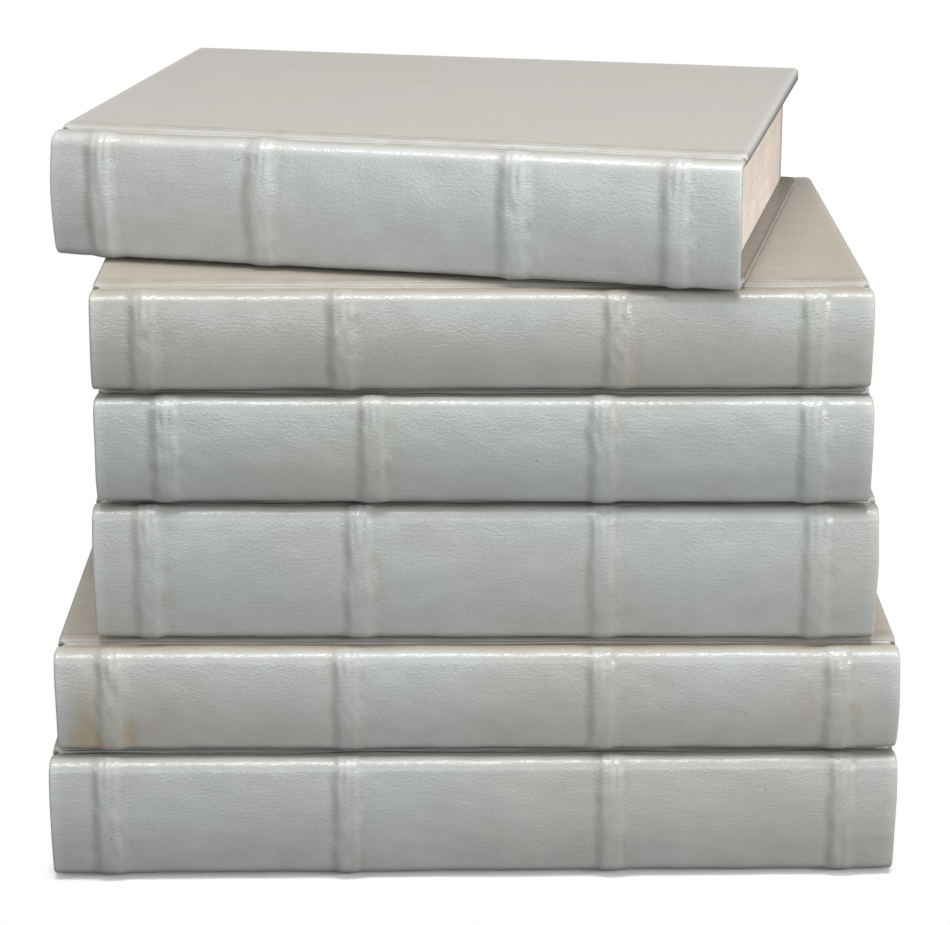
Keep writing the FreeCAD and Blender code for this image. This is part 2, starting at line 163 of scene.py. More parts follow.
def in_stack(points, book):
    """Points of a book's own frame turned about z and moved to its place, in metres."""
    turn = math.radians(book["turn"])
    x = book["left"] + points[:, 0] * math.cos(turn) - points[:, 1] * math.sin(turn)
    y = book["front"] + points[:, 0] * math.sin(turn) + points[:, 1] * math.cos(turn)
    return np.stack([x, y, book["below"] + points[:, 2]], axis=-1) * MM


def make_piece(name, shell, book, material):
    """A smooth-shaded object at the origin whose mesh is the shell, in its place."""
    points, quads, marks = shell
    mesh = bpy.data.meshes.new(name)
    mesh.vertices.add(len(points))
    mesh.vertices.foreach_set("co", in_stack(points, book).astype(np.float32).ravel())
    mesh.loops.add(quads.size)
    mesh.loops.foreach_set("vertex_index", quads.astype(np.int32).ravel())
    mesh.polygons.add(len(quads))
    mesh.polygons.foreach_set("loop_start", np.arange(0, quads.size, 4, dtype=np.int32))
    mesh.polygons.foreach_set("use_smooth", np.ones(len(quads), dtype=bool))
    mesh.update(calc_edges=True)
    for mark, values in marks.items():
        attribute = mesh.attributes.new(mark, "FLOAT", "POINT")
        attribute.data.foreach_set("value", values.astype(np.float32))
    mesh.materials.append(material)
    piece = bpy.data.objects.new(name, mesh)
    bpy.context.scene.collection.objects.link(piece)
    print(f"{name}: {2 * len(quads)} triangles")
    return piece


def smooth_step(low, high, value):
    """0 below low, 1 above high, and 3t^2 - 2t^3 between them."""
    t = np.clip((value - low) / (high - low), 0.0, 1.0)
    return t * t * (3.0 - 2.0 * t)


def bell(offset, width):
    """A soft hump: exp of minus the square of offset over width."""
    return np.exp(-(offset / width) ** 2)


def ripple(across, along, wavelength, seed, waves=14):
    """Unevenness of a hand-worked sheet: sine waves in seeded directions, mostly within -1 and 1."""
    random = np.random.default_rng(seed)
    angle = random.uniform(0, TURN, waves)
    length = wavelength * random.uniform(0.6, 1.7, waves)
    phase = random.uniform(0, TURN, waves)
    total = np.zeros(np.broadcast(across, along).shape)
    for a, l, p in zip(angle, length, phase):
        total += np.sin(TURN * (across * math.cos(a) + along * math.sin(a)) / l + p)
    return total / math.sqrt(2 * waves)


print("helpers ready")

# %% [markdown]
# A leather spine is one curve seen from the end: out of the joint, level over the ledge,
# round the shoulder, across the gently arched back, and the same again below. The shoulder
# is an arc that touches the back's larger arc, so no corner shows where they meet.

# %% The line across a spine
DIP_START = 8.0
JOINT_START = 7.5
JOINT_LOW = 12.0
JOINT_DIP = 0.35
JOINT_RISE = 0.75
RISE_END = HINGE_EDGE + 0.2
JOINT_END = HINGE_EDGE + 1.2
JOINT_POINTS, BEND_POINTS = 26, 15
BACK_STEP = 1.3


def spine_line(book):
    """Points (y, z) and outward normals of the leather's outer line, from the top joint to the lower.

    The back is a circle of radius R = (h^2 + c^2) / 2c for half height h and crown c; the
    shoulder is a circle inside it of radius r, tangent to it and to the ledge.
    """
    thickness = book["thickness"]
    half = thickness / 2 - SHOULDER_DROP
    radius = (half ** 2 + CROWN ** 2) / (2 * CROWN)
    rise = half - SHOULDER
    centre_y = radius - math.sqrt((radius - SHOULDER) ** 2 - rise ** 2)
    meet = math.atan2(rise, centre_y - radius)
    joint_y = np.linspace(JOINT_END, centre_y, JOINT_POINTS)[:-1]
    sunk = JOINT_DIP * smooth_step(DIP_START, JOINT_LOW, joint_y)
    risen = JOINT_RISE * smooth_step(JOINT_LOW, RISE_END, joint_y)
    joint_z = thickness - SHOULDER_DROP - sunk + risen
    bend = np.linspace(math.pi / 2, meet, BEND_POINTS)[:-1]
    bend_y = centre_y + SHOULDER * np.cos(bend)
    bend_z = thickness / 2 + rise + SHOULDER * np.sin(bend)
    back = np.linspace(meet, math.pi, int(half / BACK_STEP))
    back_y = radius + radius * np.cos(back)
    back_z = thickness / 2 + radius * np.sin(back)
    upper_y = np.concatenate([joint_y, bend_y, back_y])
    upper_z = np.concatenate([joint_z, bend_z, back_z])
    y = np.concatenate([upper_y, upper_y[-2::-1]])
    z = np.concatenate([upper_z, thickness - upper_z[-2::-1]])
    slope_y, slope_z = np.gradient(y), np.gradient(z)
    size = np.hypot(slope_y, slope_z)
    return y, z, slope_z / size, -slope_y / size


print("points across a spine:", len(spine_line(BOOKS[0])[0]))

# %% [markdown]
# The bands are strips under the leather. Over each one the leather stands up with soft
# flanks and sinks a little on both sides where it was tied down. The rise fades out over
# the shoulders. No two bands sit alike, so their sides wander by a few tenths.

# %% Shell of a spine
BAND_HALF = 3.75
LEFT_STEEPNESS, RIGHT_STEEPNESS = 5.4, 3.9
SWAY, SWELL, CREST = 0.28, 0.07, 0.10
TIED_DIP = 0.09
PLEAT, TOP_PLEAT, PLEAT_PITCH = 0.018, 0.12, 0.82
WANDER_LENGTH = 40


def band_relief(book, along, height_share, seed):
    """Height over the spine: for each band a flat-topped hump 1/(1 + q^s) less a dip on either side.

    q is the distance from the band's middle over its half width, which wanders with the
    height, so both flanks waver as hand-tied leather does. The left flank is the steeper one.
    Fine upright pleats run over the band, deepest near the upper shoulder.
    """
    relief = np.zeros(np.broadcast(along, height_share).shape)
    beside = np.zeros_like(relief)
    up = height_share * WANDER_LENGTH
    pleat = PLEAT + TOP_PLEAT * smooth_step(0.60, 0.92, height_share)
    for index, middle in enumerate(book["bands"]):
        own_seed = seed + 31 * index
        sway = SWAY * ripple(up, 0, 34, own_seed)
        swell = 1 + SWELL * ripple(up, along * 0.2, 15, own_seed + 7)
        q = (along - middle - sway) / (BAND_HALF * swell)
        crest = 1 + CREST * ripple(up, along * 2.0, 9, own_seed + 11)
        ridge = pleat * np.cos(TURN * (q + 0.12 * crest) / PLEAT_PITCH) * bell(q, 0.9)
        tied = TIED_DIP * bell(np.abs(q) - 1.62, 0.42)
        steepness = np.where(q < 0, LEFT_STEEPNESS, RIGHT_STEEPNESS)
        relief += BAND_RISE * (crest / (1 + np.abs(q) ** steepness) + ridge - tied)
        beside += bell(np.abs(q) - 1.25, 0.3)
    return relief, beside


RIM = 0.8
RIM_POINTS = 6
NEAR_BAND, ROUND_BAND, NEAR_END = 7.5, 12, 6
FINE_STEP, MIDDLE_STEP, WIDE_STEP = 0.55, 0.9, 2.0


def spine_columns(book):
    """Places along the spine: a rounded rim at each end, and lines that are closest at the bands."""
    length = book["length"]
    rim_angle = np.linspace(0, math.pi / 2, RIM_POINTS)
    rim_x = RIM * (1 - np.sin(rim_angle))[::-1]
    rim_depth = RIM * (1 - np.cos(rim_angle))[::-1]
    places = [RIM + 0.5, RIM + 1.0]
    at = RIM + 1.8
    while at < length - RIM - 1.6:
        places.append(at)
        near = min(abs(at - middle) for middle in book["bands"])
        edge = min(at, length - at)
        middling = near < ROUND_BAND or edge < NEAR_END
        at += FINE_STEP if near < NEAR_BAND else (MIDDLE_STEP if middling else WIDE_STEP)
    places += [length - RIM - 1.0, length - RIM - 0.5]
    x = np.concatenate([rim_x, places, (length - rim_x)[::-1]])
    depth = np.concatenate([rim_depth, np.zeros(len(places)), rim_depth[::-1]])
    return x, depth


END_EASE = 14
BOWED, UNEVEN = 0.2, 0.22
NOTCH, NOTCH_AT, NOTCH_HALF = 2.4, 12.0, 1.5
SHOULDER_FADE = 0.54
WAVER, FINE_WAVER, WRINKLE = 0.16, 0.06, 0.10
SPINE_CREASE, COVER_CREASE, FOLD_PITCH = 0.12, 0.07, 1.7
JOINT_SWAY = 0.30
BANDS_END = (6.0, 11.0)
WAVER_END = (9.0, 13.0)
LOW_SHADE_TOP = 0.62


def spine_shell(book, first_row=0, last_row=None):
    """The leather round the spine: a sheet with an outer side, an inner side and rolled ends.

    Its ends bow inwards by a share of (2h - 1)^2 of the height h, and step in where the
    joint meets the covers. Lift along the normal is bands, wavering and joint creases.
    """
    y, z, normal_y, normal_z = (part[first_row:last_row, None] for part in spine_line(book))
    x, rim_depth = spine_columns(book)
    seed = 100 * book["number"]
    thickness, length = book["thickness"], book["length"]
    height_share = z / thickness
    behind = smooth_step(SHOULDER, JOINT_START, y)
    from_end = np.minimum(x, length - x)
    towards_end = np.where(x < length / 2, 1.0, -1.0) * (1 - smooth_step(0, END_EASE, from_end))
    bowed = BOWED * (2 * height_share - 1) ** 2 + UNEVEN * (1 + ripple(z, x * 0.1, 30, seed + 5))
    notch = NOTCH * bell(y - NOTCH_AT, NOTCH_HALF)
    along = x + towards_end * (SETBACK * behind + bowed * (1 - behind) + notch)
    half = thickness / 2
    on_shoulder = smooth_step(half - SHOULDER - 1, half - 1, np.abs(z - half))
    fade = np.where(y < SHOULDER, 1 - SHOULDER_FADE * on_shoulder, 1 - SHOULDER_FADE)
    fade = fade * (1 - smooth_step(*BANDS_END, y))
    relief, beside = band_relief(book, along, height_share, seed)
    steps = np.hypot(np.diff(y, axis=0, prepend=y[:1]), np.diff(z, axis=0, prepend=z[:1]))
    path = np.cumsum(steps, axis=0)
    calm = 1 - smooth_step(*WAVER_END, y)
    waver = WAVER * ripple(along, path, 34, seed + 1) + FINE_WAVER * ripple(along, path, 10, seed + 2)
    wrinkle = WRINKLE * beside * ripple(along, path * 0.6, 4.5, seed + 3)
    in_joint = smooth_step(JOINT_START, 9.0, y) * (1 - smooth_step(HINGE_EDGE - 0.6, HINGE_EDGE, y))
    folds = np.cos(TURN * y / FOLD_PITCH + 0.9 * ripple(along, 0 * y, 45, seed + 4))
    lift = (relief + wrinkle) * fade + waver * calm - SPINE_CREASE * in_joint * folds
    outside_lift = lift - rim_depth
    inside_lift = 0 * y - np.where(from_end < LEATHER + 0.3, LEATHER + INLAY, LEATHER)
    along = along + 0 * y
    outer = np.stack([along, y + normal_y * outside_lift, z + normal_z * outside_lift], axis=-1)
    inner = np.stack([along, y + normal_y * inside_lift, z + normal_z * inside_lift], axis=-1)
    rows, columns = outer.shape[:2]
    points = np.concatenate([outer, inner[:, ::-1]], axis=1)
    around = grid_quads(rows, 2 * columns, wrap=True)
    index = np.arange(rows * 2 * columns).reshape(rows, 2 * columns)
    caps = []
    for row, flip in ((index[0], 1), (index[-1], -1)):
        inside = row[columns:][::-1]
        outside = row[:columns]
        cap = np.stack([outside[:-1], inside[:-1], inside[1:], outside[1:]], axis=-1)
        caps.append(cap[:, ::flip])
    quads = np.concatenate([around] + caps)
    points = points.reshape(-1, 3)
    # Painted shade: the lower part of the spine is marked to be drawn darker towards the bottom, and the
    # same mark browns it a little.
    low_shade_and_brown = (1 - smooth_step(0.0, LOW_SHADE_TOP, height_share)) * calm + 0 * x
    dirt = np.clip(0.8 * beside * fade + 0.7 * in_joint + 0.25 * low_shade_and_brown, 0, 1)
    edge = 1 - smooth_step(0, 5, from_end + 0 * y)
    stain = 0 * dirt
    for centre, share, wide, high, amount in book.get("stains", ()):
        spread = bell((along - centre) / wide, 1) * bell((height_share - share) / high, 1)
        stain = np.maximum(stain, amount * spread)
    marks = {"dirt": dirt, "edge": edge, "stain": stain, "unglazed_and_shaded": 0 * dirt, "low_shade_and_brown": low_shade_and_brown,
             "joint": in_joint + 0 * x,
             "across": y + JOINT_SWAY * ripple(along, 0 * y, 60, seed + 6)}
    marks = {name: np.concatenate([value, value[:, ::-1]], axis=1).ravel()
             for name, value in marks.items()}
    return points, outward(points, quads), marks


print("lines along a spine:", len(spine_columns(BOOKS[0])[0]))

# %% [markdown]
# A cover is a board wrapped in leather: a flat plate with rolled edges, two rounded
# corners at the fore-edge, and a side towards the spine where the leather slopes into the
# joint. Inside, the leather is turned in by a finger's width and stops in a small step.

# %% Shell of a cover
EDGE = 1.4
INNER_EDGE = 0.6
FRONT_SLOPE = 2.6
FRONT_DROP = 0.55
SAG, FINE_SAG = 0.10, 0.03
EDGE_LINES = (0.0, 0.12, 0.3, 0.55, 0.9, 1.4, 2.0, 3.0, 4.5, 7.0)
TURN_IN_STEP = 0.25
TURN_IN_CLEAR = 3
SHARP_STEP, PLAIN_STEP = 2.5, 6.0


def cover_lines(length, step):
    """Grid lines from 0 to length, close together at both edges and where the turned-in leather ends."""
    near = np.array(EDGE_LINES + (TURN_IN, TURN_IN + TURN_IN_STEP))
    start = TURN_IN + TURN_IN_CLEAR
    inner = np.linspace(start, length - start, max(2, int((length - 2 * start) / step)))
    return np.concatenate([near, inner, (length - near)[::-1]])


def quarter_roll(radius, distance):
    """How far a rounded edge falls: r - sqrt(r^2 - (r - d)^2) at the distance d from the outline."""
    inward = np.clip(radius - distance, 0, radius)
    return radius - np.sqrt(np.clip(radius ** 2 - inward ** 2, 0, None))


def cover_shell(book, side, step):
    """One cover: outer face, rolled edges and inner face with the turned-in leather.

    Near a rounded corner the grid's square is pressed into a disc: a' = a sqrt(1 - b^2/2).
    """
    width = book["length"] - 2 * SETBACK
    reach = book["depth"] - HINGE_EDGE
    x, y = np.meshgrid(cover_lines(width, step), cover_lines(reach, step))
    a = np.clip((CORNER - np.minimum(x, width - x)) / CORNER, 0, 1)
    b = np.clip((y - (reach - CORNER)) / CORNER, 0, 1)
    round_a, round_b = a * np.sqrt(1 - b ** 2 / 2), b * np.sqrt(1 - a ** 2 / 2)
    sideways = np.where(x < width / 2, 1.0, -1.0)
    distance = np.minimum(np.minimum(x, width - x), reach - y)
    distance = np.where((a > 0) & (b > 0), CORNER * (1 - np.hypot(round_a, round_b)), distance)
    x = x + sideways * CORNER * (a - round_a)
    y = y - CORNER * (b - round_b)
    distance = np.clip(distance, 0, None)
    slope = FRONT_DROP * (1 - smooth_step(0, FRONT_SLOPE, y)) * smooth_step(-1, 1, distance)
    seed = 100 * book["number"] + (20 if side == "upper" else 60)
    flat = smooth_step(1.5, 6, distance)
    sag = SAG * (0.5 + 0.5 * ripple(x, y, 55, seed)) + FINE_SAG * (1 + ripple(x, y, 16, seed + 1))
    warp = book.get("warp", 0.0) * (x / width) * (y / reach) ** 2 if side == "upper" else 0.0
    near_joint = smooth_step(0.6, 1.5, y) * (1 - smooth_step(4.5, 6.5, y))
    folds = 1 + np.cos(TURN * y / FOLD_PITCH + 0.9 * ripple(x, 0 * y, 50, seed + 2))
    sunk = (sag + COVER_CREASE * near_joint * folds) * flat
    outer_z = COVER - quarter_roll(EDGE, distance) - slope - sunk
    board_seen = np.minimum(np.minimum(x, width - x), reach - y) > TURN_IN + 0.1
    turned_in = np.where(board_seen & (y > LEATHER), LEATHER, 0.0)
    inner_z = quarter_roll(INNER_EDGE, distance) + turned_in
    lift = book["thickness"] - COVER
    outer = np.stack([x + SETBACK, y + HINGE_EDGE, lift + outer_z + warp], axis=-1)
    inner = np.stack([x + SETBACK, y + HINGE_EDGE, lift + inner_z], axis=-1)
    if side == "lower":
        outer[..., 2] = book["thickness"] - outer[..., 2]
        inner[..., 2] = book["thickness"] - inner[..., 2]
    rows, columns = x.shape
    faces = grid_quads(rows, columns)
    index = np.arange(rows * columns).reshape(rows, columns)
    border = np.concatenate([index[0, :-1], index[:-1, -1], index[-1, :0:-1], index[:0:-1, 0]])
    following = np.roll(border, -1)
    under = rows * columns
    wall = np.stack([border, border + under, following + under, following], axis=-1)
    quads = np.concatenate([faces, faces[:, ::-1] + under, wall])
    points = np.concatenate([outer.reshape(-1, 3), inner.reshape(-1, 3)])
    edge = 1 - smooth_step(0.5, 4.0, distance)
    dirt = 0.8 * near_joint
    none = 0 * dirt
    across = y + HINGE_EDGE + JOINT_SWAY * ripple(x + SETBACK, 0 * y, 60, seed - 14)
    marks = {"dirt": dirt, "edge": edge, "stain": none, "unglazed_and_shaded": none, "low_shade_and_brown": none,
             "joint": near_joint, "across": across}
    marks = {name: np.concatenate([value.ravel(), value.ravel()]) for name, value in marks.items()}
    # The inner face is painted dark: unglazed leather, and painted shade between the covers.
    marks["unglazed_and_shaded"][x.size:] = 1.0
    return points, outward(points, quads), marks


print("lines along a cover:", len(cover_lines(BOOKS[0]["length"], SHARP_STEP)))

# %% [markdown]
# The pages are hundreds of leaves cut at once, so the cut sides look almost solid, yet
# each gathering stands a hair in or out. The block is a stack of flat outlines, each one
# drawn in or out by a few hundredths of a millimetre, with a round back and hollow fore-edge.

# %% Shell of the pages
LEAF_GROUP = 0.42
LEAF_INSET = 0.06
LEAF_GROOVE = 0.04
LEAF_WAVE = 0.05
BACK_EASE, BACK_EASE_REACH = 0.9, 2.2
SIDE_POINTS, FORE_POINTS = 24, 28


def page_shell(book):
    """The page block as layers with the same four-sided outline, each inset by its own small amount."""
    thickness = book["thickness"]
    low, high = COVER + PAGE_GAP, thickness - COVER - PAGE_GAP
    left, right = SETBACK + SQUARE, book["length"] - SETBACK - SQUARE
    half = thickness / 2 - SHOULDER_DROP
    radius = (half ** 2 + CROWN ** 2) / (2 * CROWN)
    layers = int((high - low) / LEAF_GROUP)
    random = np.random.default_rng(900 + book["number"])
    inset = np.repeat(LEAF_INSET * random.uniform(0, 1, layers), 2)
    edges = np.linspace(low, high, layers + 1)
    z = np.stack([edges[:-1] + LEAF_GROOVE, edges[1:] - LEAF_GROOVE], axis=1).ravel()
    z[0], z[-1] = low, high
    from_middle = z - thickness / 2
    half_pages = (high - low) / 2
    back_inset = LEATHER + INLAY + PAGE_BACK_GAP
    ease = BACK_EASE * smooth_step(half_pages - BACK_EASE_REACH, half_pages, np.abs(from_middle))
    back = radius - np.sqrt((radius - back_inset) ** 2 - from_middle ** 2) + ease
    hollow = FORE_EDGE_HOLLOW * (1 - (from_middle / half_pages) ** 2)
    fore = book["depth"] - SQUARE - hollow
    rows = len(z)
    side_y = back[:, None] + (fore - back)[:, None] * np.linspace(0, 1, SIDE_POINTS)
    wave = LEAF_WAVE * ripple(side_y, z[:, None], 30, 950 + book["number"])
    right_x = right - inset[:, None] - np.abs(wave)
    left_x = left + inset[:, None] + np.abs(wave)
    across = np.linspace(0, 1, FORE_POINTS + 2)[1:-1]
    fore_x = right + (left - right) * across + 0 * z[:, None]
    fore_y = fore[:, None] - inset[:, None] + 0 * fore_x
    back_y = back[:, None] + inset[:, None] + 0 * fore_x
    ring_x = np.concatenate([right_x, fore_x, left_x[:, ::-1], fore_x[:, ::-1]], axis=1)
    ring_y = np.concatenate([side_y, fore_y, side_y[:, ::-1], back_y], axis=1)
    columns = ring_x.shape[1]
    points = np.stack([ring_x, ring_y, z[:, None] + 0 * ring_x], axis=-1).reshape(-1, 3)
    quads = grid_quads(rows, columns, wrap=True)
    ends = []
    for start, flip in ((0, 1), ((rows - 1) * columns, -1)):
        side = np.arange(SIDE_POINTS)
        near = start + side
        far = start + 2 * SIDE_POINTS + FORE_POINTS - 1 - side
        ends.append(np.stack([near[:-1], far[:-1], far[1:], near[1:]], axis=-1)[:, ::flip])
    quads = np.concatenate([quads] + ends)
    return points, outward(points, quads), {}


print("points round a layer of leaves:", 2 * (SIDE_POINTS + FORE_POINTS))

# %% [markdown]
# Grey book leather is calf or goat, dyed, glazed and rubbed. Up close it has a fine pebble
# of about a millimetre, stretched along the spine; from a step away its tone drifts between
# cool and warm grey, browner where dust settles and towards the lower edge of each spine,
# paler where it is rubbed. Upward faces and the lower part of each spine also carry painted
# light and shade. The glaze gives soft highlights along every edge.

# %% Colours and the node helper
def linear(hex_colour):
    """An sRGB hex colour as linear red, green, blue and alpha."""
    parts = [int(hex_colour[i:i + 2], 16) / 255 for i in (1, 3, 5)]
    return tuple(c / 12.92 if c <= 0.04045 else ((c + 0.055) / 1.055) ** 2.4 for c in parts) + (1.0,)


def add_node(tree, kind, inputs=None, **settings):
    """One node: settings are its properties; an input takes a value, a socket or a node's first output."""
    made = tree.nodes.new(kind)
    for name, value in settings.items():
        setattr(made, name, value)
    for name, value in (inputs or {}).items():
        if isinstance(name, int):
            socket = made.inputs[name]
        else:
            socket = next(s for s in made.inputs if s.name == name and s.enabled)
        if isinstance(value, bpy.types.Node):
            value = next(s for s in value.outputs if s.enabled)
        if isinstance(value, bpy.types.NodeSocket):
            tree.links.new(value, socket)
        else:
            socket.default_value = value
    return made


def new_material(name):
    """An empty material, its tree and its shader, already joined to the output."""
    material = bpy.data.materials.new(name)
    material.use_nodes = True
    tree = material.node_tree
    tree.nodes.clear()
    shader = add_node(tree, "ShaderNodeBsdfPrincipled")
    add_node(tree, "ShaderNodeOutputMaterial", {"Surface": shader})
    return material, tree, shader


print("mid grey:", [round(part, 3) for part in linear("#808080")])

# %% Leather
def glazed_leather(number, tone, warm, brown, toplight_and_dust_tone):
    """Dyed, glazed calf: the tone drifts over a hand's width, with pebble grain and browned folds."""
    material, tree, shader = new_material(f"glazed grey calf {number}")
    place = add_node(tree, "ShaderNodeTexCoord").outputs["Object"]
    # Grain is drawn out along the spine, the way the skin was pulled over it.
    drawn = add_node(tree, "ShaderNodeMapping", {"Vector": place, "Scale": (0.7, 1.0, 1.0)})
    combed = add_node(tree, "ShaderNodeMapping", {"Vector": place, "Scale": (0.07, 0.1, 1.0)})
    drift = add_node(tree, "ShaderNodeTexNoise", {"Vector": place, "Scale": 13.0, "Detail": 3.0})
    mottle = add_node(tree, "ShaderNodeTexNoise", {"Vector": drawn, "Scale": 130.0, "Detail": 5.0,
                                                   "Roughness": 0.62})
    scratch = add_node(tree, "ShaderNodeTexNoise", {"Vector": combed, "Scale": 1100.0, "Detail": 2.0})
    grain = add_node(tree, "ShaderNodeTexNoise", {"Vector": place, "Scale": 1500.0, "Detail": 1.0})
    pebble = add_node(tree, "ShaderNodeTexVoronoi", {"Vector": drawn, "Scale": 1300.0})
    speck = add_node(tree, "ShaderNodeTexVoronoi", {"Vector": place, "Scale": 62.0})
    # Cool grey drifts into a warmer one where the dye took less.
    warmth = add_node(tree, "ShaderNodeMapRange", {"Value": drift, "From Min": 0.40, "From Max": 0.68})
    body = add_node(tree, "ShaderNodeMix", {"Factor": warmth, "A": linear(tone), "B": linear(warm)},
                    data_type="RGBA")
    # Faces that look up are painted a little paler and warmer: part dust, part painted light from above.
    facing = add_node(tree, "ShaderNodeNewGeometry").outputs["Normal"]
    upward = add_node(tree, "ShaderNodeSeparateXYZ", {"Vector": facing}).outputs["Z"]
    toplight_and_dust = add_node(tree, "ShaderNodeMapRange", {"Value": upward, "From Min": 0.93, "From Max": 0.995,
                                                   "To Max": 0.8})
    body = add_node(tree, "ShaderNodeMix", {"Factor": toplight_and_dust, "A": body, "B": linear(toplight_and_dust_tone)},
                    data_type="RGBA")
    shade = add_node(tree, "ShaderNodeMapRange", {"Value": mottle, "From Min": 0.36, "From Max": 0.66,
                                                  "To Min": 1.03, "To Max": 0.96})
    # Painted shade: every spine is drawn darker towards the bottom.
    low_shade_and_brown = add_node(tree, "ShaderNodeAttribute", attribute_name="low_shade_and_brown").outputs["Fac"]
    painted_low_shade = add_node(tree, "ShaderNodeMapRange", {"Value": low_shade_and_brown, "To Min": 1.0, "To Max": 0.93})
    shade = add_node(tree, "ShaderNodeMath", {0: shade, 1: painted_low_shade}, operation="MULTIPLY")
    toned = add_node(tree, "ShaderNodeVectorMath", {0: body, "Scale": shade}, operation="SCALE")
    # Folds beside the bands and in the joints hold brown dust, in patches.
    folds = add_node(tree, "ShaderNodeAttribute", attribute_name="dirt").outputs["Fac"]
    patch = add_node(tree, "ShaderNodeMapRange", {"Value": mottle, "From Min": 0.45, "From Max": 0.62,
                                                  "To Min": 0.16, "To Max": 0.55})
    dusty = add_node(tree, "ShaderNodeMath", {0: folds, 1: patch}, operation="MULTIPLY")
    browned = add_node(tree, "ShaderNodeMix", {"Factor": dusty, "A": toned, "B": linear(brown)},
                       data_type="RGBA")
    # Opening a cover creases its joint in hair lines, one beside the other, along the whole book.
    joint = add_node(tree, "ShaderNodeAttribute", attribute_name="joint").outputs["Fac"]
    across = add_node(tree, "ShaderNodeAttribute", attribute_name="across").outputs["Fac"]
    turns = add_node(tree, "ShaderNodeMath", {0: drift, 1: 9.0}, operation="MULTIPLY")
    turns = add_node(tree, "ShaderNodeMath", {0: across, 1: TURN / CREASE_PITCH, 2: turns},
                     operation="MULTIPLY_ADD")
    wave = add_node(tree, "ShaderNodeMath", {0: turns}, operation="SINE")
    hair = add_node(tree, "ShaderNodeMapRange", {"Value": wave, "From Min": 0.1, "From Max": 1.0})
    hair = add_node(tree, "ShaderNodeMath", {0: hair, 1: joint}, operation="MULTIPLY")
    tint = add_node(tree, "ShaderNodeMath", {0: hair, 1: 0.42}, operation="MULTIPLY")
    browned = add_node(tree, "ShaderNodeMix", {"Factor": tint, "A": browned, "B": linear(brown)},
                       data_type="RGBA")
    # Stains have ragged rims: the painted spot is broken up by the same mottle.
    stain = add_node(tree, "ShaderNodeAttribute", attribute_name="stain").outputs["Fac"]
    ragged = add_node(tree, "ShaderNodeMath", {0: mottle, 1: 2.2, 2: -1.0}, operation="MULTIPLY_ADD")
    eaten = add_node(tree, "ShaderNodeMath", {0: stain, 1: ragged}, operation="ADD", use_clamp=True)
    spot = add_node(tree, "ShaderNodeMath", {0: stain, 1: eaten}, operation="MULTIPLY")
    stained = add_node(tree, "ShaderNodeMix", {"Factor": spot, "A": browned, "B": linear(STAIN_TONE)},
                       data_type="RGBA")
    # Rubbed edges are paler, and a few specks are dark.
    rubbed = add_node(tree, "ShaderNodeAttribute", attribute_name="edge").outputs["Fac"]
    pale = add_node(tree, "ShaderNodeMath", {0: rubbed, 1: 0.13}, operation="MULTIPLY")
    paled = add_node(tree, "ShaderNodeMix", {"Factor": pale, "A": stained, "B": linear("#e4e4e0")},
                     data_type="RGBA")
    dot = add_node(tree, "ShaderNodeMapRange", {"Value": speck, "From Min": 0.022, "From Max": 0.034,
                                                "To Min": 0.45, "To Max": 0.0})
    skin = add_node(tree, "ShaderNodeMix", {"Factor": dot, "A": paled, "B": linear("#55504a")},
                    data_type="RGBA")
    # The leather inside the covers is unglazed and painted much darker; the darkening also stands for
    # painted shade between the covers.
    unglazed_and_shaded = add_node(tree, "ShaderNodeAttribute", attribute_name="unglazed_and_shaded").outputs["Fac"]
    inside_darkening = add_node(tree, "ShaderNodeMath", {0: unglazed_and_shaded, 1: 0.85}, operation="MULTIPLY")
    skin = add_node(tree, "ShaderNodeMix", {"Factor": inside_darkening, "A": skin, "B": linear("#655d53")},
                    data_type="RGBA")
    gloss = add_node(tree, "ShaderNodeMapRange", {"Value": mottle, "From Min": 0.35, "From Max": 0.65,
                                                  "To Min": 0.42, "To Max": 0.54})
    # Combed scratches, pebble and fine grain stand a few hundredths of a millimetre high, and
    # the hair creases are cut a little deeper.
    lines = add_node(tree, "ShaderNodeBump", {"Height": scratch, "Strength": 1.0, "Distance": 0.00004})
    pebbled = add_node(tree, "ShaderNodeBump", {"Height": pebble, "Strength": 1.0, "Distance": 0.00007,
                                                "Normal": lines})
    grained = add_node(tree, "ShaderNodeBump", {"Height": grain, "Strength": 1.0, "Distance": 0.00003,
                                                "Normal": pebbled})
    grained = add_node(tree, "ShaderNodeBump", {"Height": hair, "Strength": 1.0, "Distance": 0.00014,
                                                "Normal": grained}, invert=True)
    tree.links.new(next(s for s in skin.outputs if s.enabled), shader.inputs["Base Color"])
    tree.links.new(gloss.outputs["Result"], shader.inputs["Roughness"])
    tree.links.new(pebbled.outputs["Normal"], shader.inputs["Coat Normal"])
    shader.inputs["Specular IOR Level"].default_value = 0.6
    shader.inputs["Coat Weight"].default_value = 0.42
    shader.inputs["Coat Roughness"].default_value = 0.22
    tree.links.new(grained.outputs["Normal"], shader.inputs["Normal"])
    return material


STAIN_TONE = "#978a76"
CREASE_PITCH = 1.25
# Per book: tone, warm tone, brown of the folds, and the paler, warmer tone of upward faces, which is part
# dust and part painted light from above.
LEATHER_TONES = [
    ("#9c9e9c", "#9b9b95", "#86817a", "#a8a59e"),
    ("#9fa1a0", "#9c9b95", "#8c8373", "#aca496"),
    ("#9fa1a0", "#9e9e98", "#8e877b", "#a8a59e"),
    ("#999c9b", "#989993", "#89837a", "#a6a49d"),
    ("#999a95", "#97958d", "#8a8375", "#a49c8e"),
    ("#aaacab", "#a8a9a5", "#928b81", "#b0ada5"),
]
leathers = [glazed_leather(number, *tones) for number, tones in enumerate(LEATHER_TONES, start=1)]
print("leathers:", len(leathers))

